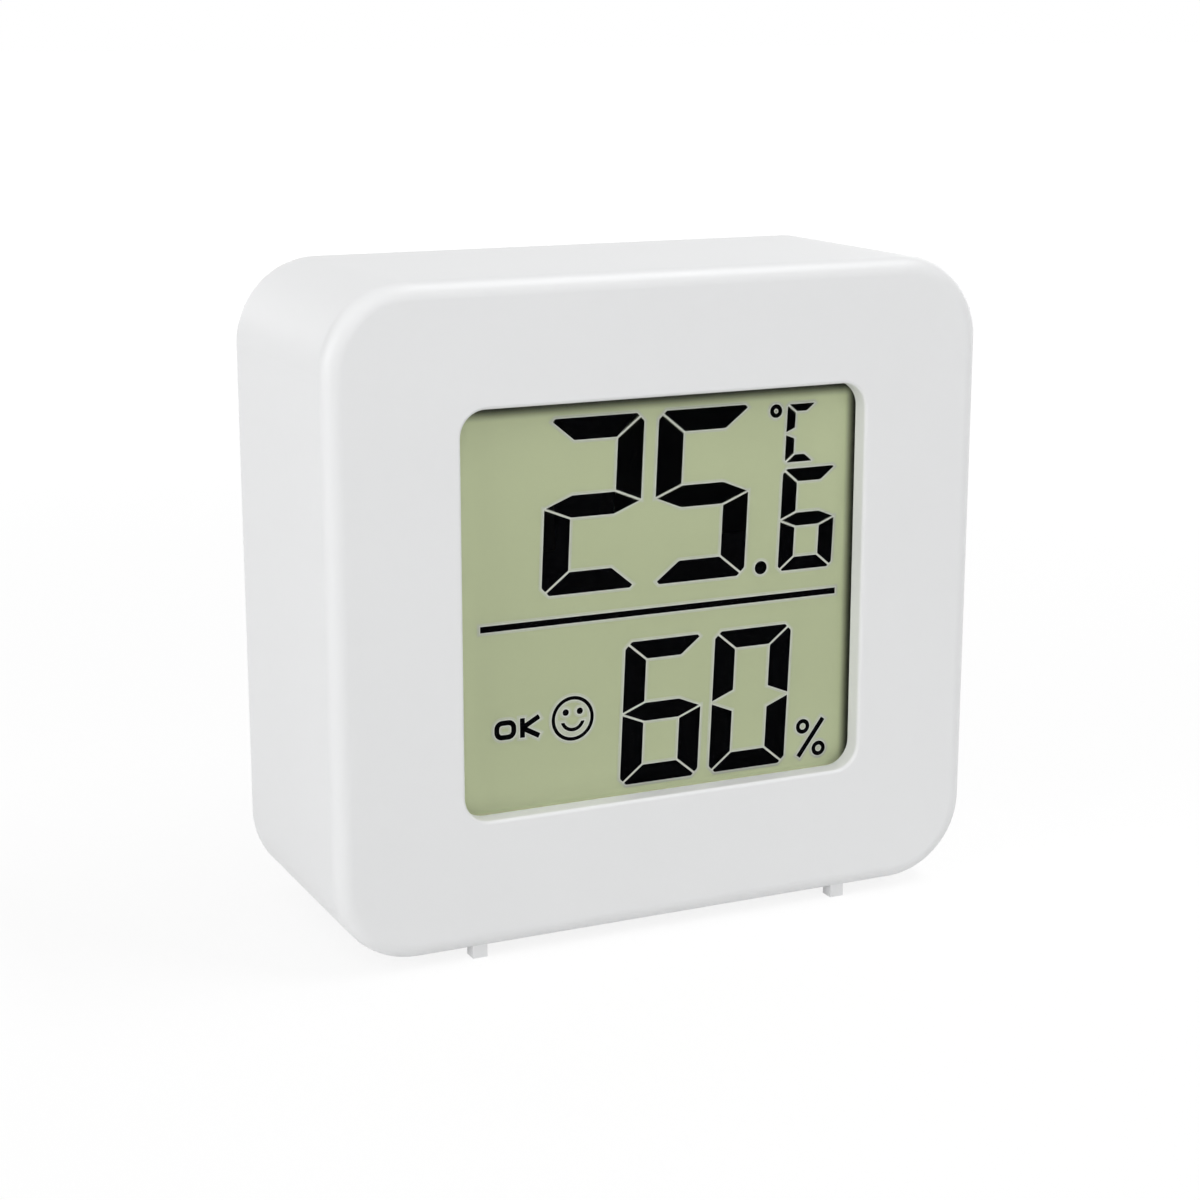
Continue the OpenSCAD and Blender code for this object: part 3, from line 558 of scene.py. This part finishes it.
@dataclass(frozen=True)
class SolderMask(Finish):
    """Lacquered circuit board with copper tracks under the lacquer and tinned holes.

    The spans of chances say where a lane is used, a patch has level tracks and a
    hole is drilled: not below the span, and always above it.
    """

    bare_tone: float = 0.95
    track_colour: Rgb = (0.05, 0.27, 0.11)
    tin: Rgb = (0.6, 0.6, 0.56)
    lane: float = 0.8 * MM
    lane_chances: Span = (0.34, 0.36)
    track_edge: Span = (0.16, 0.22)
    patch: Point = (5.6 * MM, 4.8 * MM)
    level_chances: Span = (0.49, 0.51)
    level_shuffle: float = 97
    upright_shuffle: float = 53
    hole_pitch: float = 2.4 * MM
    hole_chances: Span = (0.68, 0.7)
    hole_r: float = 0.3 * MM
    hole_edge: float = 1.15
    relief_depth: float = 0.02 * MM
    cloud: float = 1.2 * MM
    cloud_gloss: float = 0.12
    lacquer: float = 0.4

    @staticmethod
    def chance(sheet: NodeSheet, first: Signal, second: Signal) -> Signal:
        """Gives one number from 0 to 1 for each square of a grid.

        Args:
            sheet: The material's nodes.
            first: The place across the grid, in squares.
            second: The place up the grid, in squares.

        Returns:
            A number that stays the same within a square.
        """
        square = sheet.add("ShaderNodeCombineXYZ", None, {"X": first.whole(), "Y": second.whole()})
        settings = {"noise_dimensions": "2D"}
        return sheet.add("ShaderNodeTexWhiteNoise", settings, {"Vector": square}, "Value")

    def lines(self, sheet: NodeSheet, across: Signal, patch: Signal) -> Signal:
        """Gives straight tracks, with some lanes left empty.

        Args:
            sheet: The material's nodes.
            across: The place across the tracks.
            patch: A number that differs from patch to patch of the board.

        Returns:
            1 on a track and 0 beside it.
        """
        lane = across / self.lane
        used = self.chance(sheet, lane, patch).step(*self.lane_chances)
        return used * (1 - abs((lane % 1).swing()).step(*self.track_edge))

    def holes(self, sheet: NodeSheet, across: Signal, up: Signal) -> Signal:
        """Gives tinned holes on a grid, with most of its places left empty.

        Args:
            sheet: The material's nodes.
            across: The place along X.
            up: The place along Z.

        Returns:
            1 on a hole's tin and 0 beside it.
        """
        column, row = across / self.hole_pitch, up / self.hole_pitch
        off_x, off_z = (column % 1).swing(), (row % 1).swing()
        radius = self.hole_pitch * (off_x * off_x + off_z * off_z) ** 0.5
        drilled = self.chance(sheet, column, row).step(*self.hole_chances)
        return drilled * (1 - radius.step(self.hole_r, self.hole_edge * self.hole_r))

    def fill(self, sheet: NodeSheet) -> None:
        """Adds patches of level or upright tracks, the holes and a faint cloud in the lacquer.

        Args:
            sheet: The material's nodes.
        """
        place = sheet.place()
        across, up = sheet.axis(place, "X"), sheet.axis(place, "Z")
        patch = self.chance(sheet, across / self.patch[0], up / self.patch[1])
        level = patch.step(*self.level_chances)
        level_lines = self.lines(sheet, up, self.level_shuffle * patch)
        upright_lines = self.lines(sheet, across, self.upright_shuffle * patch)
        tracks = level_lines * level + upright_lines * (1 - level)
        holes = self.holes(sheet, across, up)
        cloud = sheet.noise(place, self.cloud)
        lacquered = sheet.tint(tracks, shaded(self.colour, self.bare_tone), self.track_colour)
        sheet.principled(
            Base_Color=sheet.tint(holes, lacquered, self.tin),
            Metallic=holes,
            Roughness=self.roughness + self.cloud_gloss * cloud.swing(),
            Coat_Weight=self.lacquer,
            Normal=sheet.bump(tracks.most(holes), self.relief_depth),
        )


@dataclass(frozen=True)
class PouredResin(Finish):
    """Resin that has set with a slightly uneven skin."""

    ripple: float = 0.9 * MM
    ripple_depth: float = 0.02 * MM
    dust: float = 0.15 * MM
    dust_gloss: float = 0.2
    tones: Span = (0.8, 1.3)

    def fill(self, sheet: NodeSheet) -> None:
        """Adds ripples and dust-dulled patches.

        Args:
            sheet: The material's nodes.
        """
        place = sheet.place()
        ripple = sheet.noise(place, self.ripple)
        dust = sheet.noise(place, self.dust, Detail.DUSTY)
        sheet.principled(
            Base_Color=self.between(sheet, dust, *self.tones),
            Roughness=self.roughness + self.dust_gloss * dust.swing(),
            Normal=sheet.bump(ripple, self.ripple_depth),
        )


@dataclass(frozen=True)
class TippedCeramic(Finish):
    """A row of ceramic chips with tinned ends."""

    first: float
    pitch: float
    bare_half: float = 0.62 * MM
    tin_edge: float = 0.05 * MM
    tin: Rgb = (0.62, 0.62, 0.6)
    tin_gloss: float = 0.2
    speckle: float = 0.1 * MM
    speckle_depth: float = 0.004 * MM
    speckle_gloss: float = 0.15

    def fill(self, sheet: NodeSheet) -> None:
        """Adds the tinned ends by their distance from each chip's middle.

        Args:
            sheet: The material's nodes.
        """
        place = sheet.place()
        from_start = sheet.axis(place, "X") - self.first + self.pitch / 2
        along = abs(from_start % self.pitch - self.pitch / 2)
        ends = along.step(self.bare_half, self.bare_half + self.tin_edge)
        speckle = sheet.noise(place, self.speckle)
        gloss = self.speckle_gloss * speckle.swing() - self.tin_gloss * ends
        sheet.principled(
            Base_Color=sheet.tint(ends, self.colour, self.tin),
            Metallic=ends,
            Roughness=self.roughness + gloss,
            Normal=sheet.bump(speckle, self.speckle_depth),
        )


@dataclass(frozen=True)
class LayeredRubber(Finish):
    """Silicone with thin dark layers across its length."""

    layer: float = 0.18 * MM
    layer_edge: Span = (0.2, 0.3)
    dark: Rgb = (0.02, 0.02, 0.022)
    skin: float = 0.2 * MM
    skin_depth: float = 0.006 * MM
    skin_gloss: float = 0.15

    def fill(self, sheet: NodeSheet) -> None:
        """Adds the layers and a dusty skin.

        Args:
            sheet: The material's nodes.
        """
        place = sheet.place()
        phase = (sheet.axis(place, "X") % self.layer) / self.layer
        layers = abs(phase.swing()).step(*self.layer_edge)
        skin = sheet.noise(place, self.skin)
        sheet.principled(
            Base_Color=sheet.tint(layers, self.colour, self.dark),
            Roughness=self.roughness + self.skin_gloss * skin.swing(),
            Normal=sheet.bump(skin, self.skin_depth),
        )


FIELD_OLIVE: Rgb = (0.5, 0.555, 0.34)
NICKEL: Rgb = (0.54, 0.54, 0.55)
STAINLESS: Rgb = (0.72, 0.72, 0.71)
PLATED_BRASS: Rgb = (0.72, 0.6, 0.32)
CERAMIC_TAN: Rgb = (0.42, 0.3, 0.17)

CASE_WHITE = MouldedPlastic("case white satin", (0.79, 0.795, 0.8), 0.4)
COVER_WHITE = MouldedPlastic("cover white satin", (0.78, 0.785, 0.79), 0.46,
                             grain=0.35 * MM, grain_depth=0.006 * MM)
BUTTON_GREY = MouldedPlastic("button grey satin", (0.55, 0.56, 0.57), 0.42,
                             grain=0.3 * MM, grain_depth=0.005 * MM)
FRAME_NATURAL = MouldedPlastic("frame natural plastic", (0.6, 0.6, 0.58), 0.5,
                               grain=0.2 * MM, grain_depth=0.005 * MM)
SENSOR_CAP = MouldedPlastic("sensor cap plastic", (0.75, 0.74, 0.68), 0.5,
                            grain=0.15 * MM, grain_depth=0.004 * MM)
SWITCH_BLACK = MouldedPlastic("switch black plastic", (0.02, 0.02, 0.02), 0.45,
                              grain=0.2 * MM, grain_depth=0.006 * MM)
CLEAR_FILM = ClearSheet("polarizing film", (0.02, 0.022, 0.018), 0.35, alpha=0.02)
CLEAR_GLASS = ClearSheet("cell glass", (0.02, 0.022, 0.02), 0.1, alpha=0.01)
BAR_BLACK = Ink("lit bar black", (0.0012, 0.0012, 0.0018), 0.6)
FRINGE_PALE = Ink("bar fringe pale", (0.73, 0.76, 0.67), 0.6, mottle=0.03)
HALO_PALE = Ink("bar halo pale", (0.577, 0.62, 0.496), 0.6, mottle=0.03)
SEAL_GREY = Ink("edge seal grey", (0.3, 0.3, 0.28), 0.5)
FOIL = BrushedMetal("reflector foil", (0.6, 0.62, 0.55), 0.4)
CAN_TIN = BrushedMetal("crystal can tin", (0.7, 0.7, 0.7), 0.3)
CONTACT_PLATE = BrushedMetal("contact plated strip", PLATED_BRASS, 0.28)
CONTACT_BLADE = BrushedMetal("contact plated blade", PLATED_BRASS, 0.28, lay=Lay.ALONG_Y)
ZEBRA = LayeredRubber("layered silicone", (0.2, 0.2, 0.21), 0.6)
BOARD_GREEN = SolderMask("solder mask green", (0.02, 0.17, 0.07), 0.32)
DROP_BLACK = PouredResin("poured epoxy black", (0.012, 0.012, 0.012), 0.3)
BEAD_BROWN = PouredResin("dipped epoxy brown", (0.1, 0.03, 0.015), 0.25, ripple=0.4 * MM)
WIRE_RED = PouredResin("wire jacket red", (0.5, 0.02, 0.015), 0.35,
                       ripple=0.5 * MM, ripple_depth=0.006 * MM)
WIRE_BLACK = PouredResin("wire jacket black", (0.015, 0.015, 0.015), 0.35,
                         ripple=0.5 * MM, ripple_depth=0.006 * MM)


def dress(node: str, finish: Finish) -> None:
    """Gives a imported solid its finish.

    Args:
        node: The solid's name.
        finish: The finish for all its material slots.
    """
    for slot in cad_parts[node].material_slots:
        slot.material = finish.material()
    log.info("%s: %s", node, finish.name)


def middle_of(node: str) -> Vector:
    """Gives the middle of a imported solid's box."""
    low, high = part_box(node)
    return (low + high) / 2


def screw_finish(name: str, node: str, head_r: float, roughness: float) -> TurnedMetal:
    """Makes the finish of four screws that stand in a rectangle.

    Args:
        name: The finish's name.
        node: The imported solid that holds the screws.
        head_r: Radius of a head.
        roughness: How dull the metal is.

    Returns:
        Nickel with rings about the middle of each head.
    """
    _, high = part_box(node)
    middle = middle_of(node)
    offset = (high.x - middle.x - head_r, high.z - middle.z - head_r)
    return TurnedMetal(name, NICKEL, roughness, (middle.x, middle.z), offset)


@dataclass
class Housing:
    """The white outside: front shell, back cover and the cover's screws."""

    screw_head_r: float = 1.45 * MM
    screw_roughness: float = 0.48

    def dress(self) -> None:
        """Dresses the mouldings, and the screws with rings about each head."""
        dress("front_shell", CASE_WHITE)
        dress("back_cover", COVER_WHITE)
        screws = screw_finish("cover screw nickel", "cover_screws",
                              self.screw_head_r, self.screw_roughness)
        dress("cover_screws", screws)


@dataclass(frozen=True)
class PaleBand:
    """One pale band round every bar, inside the cell's gap.

    The band runs from start to end, measured from the bar's edge. Each bar's band
    lies one stagger further back than the one before it.
    """

    name: str
    finish: Ink
    start: float
    end: float
    setback: float
    thickness: float
    stagger: float = 0.0


BANDS: Tuple[PaleBand, ...] = (
    PaleBand("lcd_bar_fringe", FRINGE_PALE, start=0.002 * MM, end=0.067 * MM,
             setback=0.01 * MM, thickness=0.012 * MM),
    PaleBand("lcd_bar_halo", HALO_PALE, start=0.067 * MM, end=0.2 * MM,
             setback=0.025 * MM, thickness=0.012 * MM, stagger=0.0002 * MM),
)


@dataclass
class Display:
    """The display: clear front layers, dark bars with pale bands round them, and the olive field."""

    rim_cover: float = 0.7 * MM
    field_roughness: float = 0.55
    weld: float = 1e-7
    front_facing: float = -0.9
    most_mitre: float = 1.8
    sharpest_turn: float = 0.1

    def outlines(self) -> List[List[Point]]:
        """Walks round the front faces of the bars.

        Returns:
            Closed outlines in X and Z, each with the bar on its left.
        """
        work = bmesh.new()
        work.from_mesh(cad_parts["lcd_segments"].data)
        bmesh.ops.remove_doubles(work, verts=work.verts, dist=self.weld)
        work.normal_update()
        front = [face for face in work.faces if face.normal.y < self.front_facing]
        fronts = set(front)
        following: Dict[bmesh.types.BMVert, bmesh.types.BMVert] = {}
        for face in front:
            for corner in face.loops:
                if sum(other in fronts for other in corner.edge.link_faces) == 1:
                    following[corner.vert] = corner.link_loop_next.vert
        loops: List[List[Point]] = []
        while following:
            start, vert = following.popitem()
            loop = [start]
            while vert != start:
                loop.append(vert)
                vert = following.pop(vert)
            loops.append([(v.co.x, v.co.z) for v in loop])
        work.free()
        return loops

    def pushed(self, loop: List[Point], reach: float) -> List[Point]:
        """Moves an outline away from its bar.

        Args:
            loop: The outline.
            reach: How far it moves.

        Returns:
            The moved outline, with mitred corners.
        """
        moved: List[Point] = []
        for place, (x, z) in enumerate(loop):
            before, after = loop[place - 1], loop[(place + 1) % len(loop)]
            first = Vector((z - before[1], before[0] - x)).normalized()
            second = Vector((after[1] - z, x - after[0])).normalized()
            push = (first + second) / max(1 + first.dot(second), self.sharpest_turn)
            if push.length > self.most_mitre:
                push = push.normalized() * self.most_mitre
            moved.append((x + reach * push.x, z + reach * push.y))
        return moved

    def build_band(self, band: PaleBand) -> bpy.types.Object:
        """Builds one band, thin and closed, round each bar.

        Args:
            band: The band's place, depth and finish.

        Returns:
            The band, riding on the housing.
        """
        low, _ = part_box("lcd_segments")
        work = bmesh.new()
        for count, loop in enumerate(sorted(self.outlines())):
            front = low.y + band.setback + count * band.stagger
            back = front + band.thickness
            section = ((band.start, front), (band.end, front), (band.end, back), (band.start, back))
            rails = [
                [work.verts.new((x, depth, z)) for x, z in self.pushed(loop, reach)]
                for reach, depth in section
            ]
            for rail, beside in zip(rails, rails[1:] + rails[:1]):
                for place in range(len(loop)):
                    corners = (rail[place - 1], rail[place], beside[place], beside[place - 1])
                    work.faces.new(corners)
        bmesh.ops.recalc_face_normals(work, faces=work.faces)
        mesh = bpy.data.meshes.new(band.name)
        work.to_mesh(mesh)
        work.free()
        mesh.materials.append(band.finish.material())
        piece = bpy.data.objects.new(band.name, mesh)
        bpy.context.scene.collection.objects.link(piece)
        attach(piece, BODY)
        log.info("%s: %s", piece.name, band.finish.name)
        return piece

    def dress(self) -> None:
        """Dresses the display's layers from front to back."""
        low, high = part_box("lcd_front_polarizer")
        field = DisplayField("display field olive", FIELD_OLIVE, self.field_roughness,
                             left=low.x + self.rim_cover, right=high.x - self.rim_cover,
                             low=low.z + self.rim_cover, top=high.z - self.rim_cover)
        for node, finish in (
            ("lcd_front_polarizer", CLEAR_FILM), ("lcd_front_glass", CLEAR_GLASS),
            ("lcd_segments", BAR_BLACK), ("lcd_edge_seal", SEAL_GREY),
            ("lcd_rear_glass", field), ("lcd_reflector", FOIL),
            ("lcd_frame", FRAME_NATURAL), ("zebra_strip", ZEBRA),
        ):
            dress(node, finish)


@dataclass
class Board:
    """The circuit board and what is soldered or screwed to it."""

    chip_length: float = 2.0 * MM
    chip_pitch: float = 3.4 * MM
    chip_roughness: float = 0.55
    screw_head_r: float = 1.3 * MM
    screw_roughness: float = 0.42

    def dress(self) -> None:
        """Dresses the board, its parts and its screws."""
        screws = screw_finish("board screw nickel", "board_screws",
                              self.screw_head_r, self.screw_roughness)
        row_start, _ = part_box("chip_components")
        chips = TippedCeramic("chip ceramic", CERAMIC_TAN, self.chip_roughness,
                              first=row_start.x + self.chip_length / 2, pitch=self.chip_pitch)
        for node, finish in (
            ("main_pcb", BOARD_GREEN), ("board_screws", screws),
            ("controller_chip", DROP_BLACK), ("crystal", CAN_TIN),
            ("chip_components", chips), ("humidity_sensor", SENSOR_CAP),
            ("thermistor", BEAD_BROWN), ("tact_switch", SWITCH_BLACK),
        ):
            dress(node, finish)


@dataclass
class Battery:
    """The coin cell, its contacts and leads, and the twist door."""

    cell_mark: float = 0.2 * MM
    cell_roughness: float = 0.26

    def dress(self) -> None:
        """Dresses the cell with rings about its axis, then the rest."""
        middle = middle_of("coin_cell")
        cell = TurnedMetal("cell stainless", STAINLESS, self.cell_roughness,
                           (middle.x, middle.z), mark=self.cell_mark)
        for node, finish in (
            ("coin_cell", cell), ("battery_contact_positive", CONTACT_BLADE),
            ("battery_contact_negative", CONTACT_PLATE), ("positive_lead", WIRE_RED),
            ("negative_lead", WIRE_BLACK), ("battery_door", COVER_WHITE),
        ):
            dress(node, finish)


@dataclass
class UnitButton:
    """The button on the back and the switch plunger that it presses."""

    def dress(self) -> None:
        """Dresses the cap and the plunger."""
        dress("unit_button", BUTTON_GREY)
        dress("switch_plunger", SWITCH_BLACK)


@dataclass(frozen=True)
class Softbox:
    """One broad lamp that faces the meter.

    Its level is what a white card that faces it shows. Its stretch runs at right
    angles to the meter's width.
    """

    name: str
    azimuth_deg: float
    elevation_deg: float
    distance: float
    side: float
    level: float
    stretch: float = 1.0

    def place(self, aim: Vector) -> bpy.types.Object:
        """Sets up the lamp.

        Args:
            aim: The point that it faces.

        Returns:
            The lamp, on its stand.
        """
        lamp = bpy.data.lights.new(self.name, "AREA")
        lamp.shape = "ELLIPSE"
        lamp.size = self.side
        lamp.size_y = self.side * self.stretch
        lamp.energy = self.level * math.pi ** 2 * self.distance ** 2
        turn, rise = math.radians(self.azimuth_deg), math.radians(self.elevation_deg)
        level_part = math.cos(rise)
        away = Vector((-math.sin(turn) * level_part, -math.cos(turn) * level_part, math.sin(rise)))
        tall = away.cross(Vector((1, 0, 0))).normalized()
        stand = bpy.data.objects.new(self.name, lamp)
        stand.location = aim + away * self.distance
        stand.rotation_euler = Matrix((tall.cross(away), tall, away)).transposed().to_euler()
        stand.visible_camera = False
        bpy.context.scene.collection.objects.link(stand)
        return stand


LAMPS: Tuple[Softbox, ...] = (
    Softbox("front", 0, 22, distance=0.5, side=0.5, level=0.19),
    Softbox("key", 45, 40, distance=0.5, side=0.4, level=0.09),
    Softbox("left", 75, 8, distance=0.5, side=0.4, level=0.51),
    Softbox("overhead", -60, 62, distance=0.5, side=0.1, level=0.38, stretch=4),
    Softbox("rear right", 238, 12, distance=0.6, side=0.5, level=0.25),
    Softbox("back", 181, 5, distance=0.6, side=0.26, level=0.15, stretch=0.5),
)


@dataclass
class Studio:
    """The white table, the soft light and the camera."""

    table_side: float = 6.0
    table_colour: Rgb = (0.8, 0.8, 0.8)
    table_glow: float = 1.06
    fibre: float = 2 * MM
    fibre_tones: Span = (0.99, 1.01)
    white_share: float = 0.8
    shadow_fade: Span = (0.06, 0.35)
    ambient: float = 0.375
    lens_mm: float = 73.7
    sensor_mm: float = 36.0
    clip_start: float = 0.01
    camera_at: Tuple[float, float, float] = (-69.13 * MM, -146.34 * MM, 59.78 * MM)
    yaw_deg: float = 25.04
    pitch_deg: float = 13.64

    @staticmethod
    def seen(sheet: NodeSheet) -> Signal:
        """Gives 1 for rays that show the background, straight or in gloss and glass."""
        camera, glossy, through = (sheet.add("ShaderNodeLightPath", result=ray) for ray in SHOWN_RAYS)
        return camera.most(glossy).most(through)

    def table_paper(self) -> bpy.types.Material:
        """Makes the table's material.

        Returns:
            Paper that is white to the eye, but takes a share of the meter's shadow near it.
        """
        material = bpy.data.materials.new("table paper")
        material.use_nodes = True
        sheet = NodeSheet(material.node_tree)
        place = sheet.place()
        fibre = sheet.noise(place, self.fibre, Detail.DUSTY)
        dark, pale = (shaded(self.table_colour, tone) for tone in self.fibre_tones)
        away = sheet.add("ShaderNodeVectorMath", {"operation": "LENGTH"}, {0: place}, "Value")
        share = self.white_share + (1 - self.white_share) * away.step(*self.shadow_fade)
        paper = sheet.add("ShaderNodeBsdfDiffuse", None, {"Color": sheet.tint(fibre, dark, pale)})
        white = sheet.add("ShaderNodeEmission", None, {"Color": WHITE, "Strength": self.table_glow})
        mixed = {0: self.seen(sheet) * share, 1: paper, 2: white}
        sheet.surface(sheet.add("ShaderNodeMixShader", None, mixed))
        return material

    def build_table(self) -> None:
        """Builds the flat table top that the meter stands on."""
        half = self.table_side / 2
        corners = [(-half, -half, 0), (half, -half, 0), (half, half, 0), (-half, half, 0)]
        mesh = bpy.data.meshes.new("table")
        mesh.from_pydata(corners, [], [(0, 1, 2, 3)])
        mesh.materials.append(self.table_paper())
        table = bpy.data.objects.new("table", mesh)
        bpy.context.scene.collection.objects.link(table)

    def light(self, aim: Vector) -> None:
        """Sets the surrounding light and the lamps.

        Args:
            aim: The point that the lamps face.
        """
        world = bpy.data.worlds.new("studio")
        world.use_nodes = True
        sheet = NodeSheet(world.node_tree)
        fill, white = (
            sheet.add("ShaderNodeBackground", None, {"Color": WHITE, "Strength": strength})
            for strength in (self.ambient, 1.0)
        )
        mixed = sheet.add("ShaderNodeMixShader", None, {0: self.seen(sheet), 1: fill, 2: white})
        sheet.surface(mixed, "ShaderNodeOutputWorld")
        bpy.context.scene.world = world
        for lamp in LAMPS:
            lamp.place(aim)
            log.info("%s: lamp at level %.2f", lamp.name, lamp.level)

    def aim_camera(self) -> None:
        """Sets up the camera where the photograph was taken from."""
        data = bpy.data.cameras.new("portrait")
        data.lens = self.lens_mm
        data.sensor_width = self.sensor_mm
        data.clip_start = self.clip_start
        yaw, pitch = math.radians(self.yaw_deg), math.radians(self.pitch_deg)
        level_part = math.cos(pitch)
        ahead = Vector((math.sin(yaw) * level_part, math.cos(yaw) * level_part, -math.sin(pitch)))
        camera = bpy.data.objects.new("portrait", data)
        camera.location = self.camera_at
        camera.rotation_euler = ahead.to_track_quat("-Z", "Y").to_euler()
        bpy.context.scene.collection.objects.link(camera)
        bpy.context.scene.camera = camera

    def set_up(self) -> None:
        """Builds the whole studio round the meter."""
        self.aim_camera()
        self.build_table()
        self.light(middle_of("front_shell"))
        bpy.context.scene.view_settings.view_transform = "Standard"


def main() -> None:
    """Builds the meter's looks in order."""
    logging.basicConfig(level=logging.INFO, format="%(name)s %(message)s")
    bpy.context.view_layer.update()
    Studio().set_up()
    Housing().dress()
    display = Display()
    display.dress()
    for band in BANDS:
        display.build_band(band)
    Board().dress()
    Battery().dress()
    UnitButton().dress()


if __name__ == "__main__":
    main()
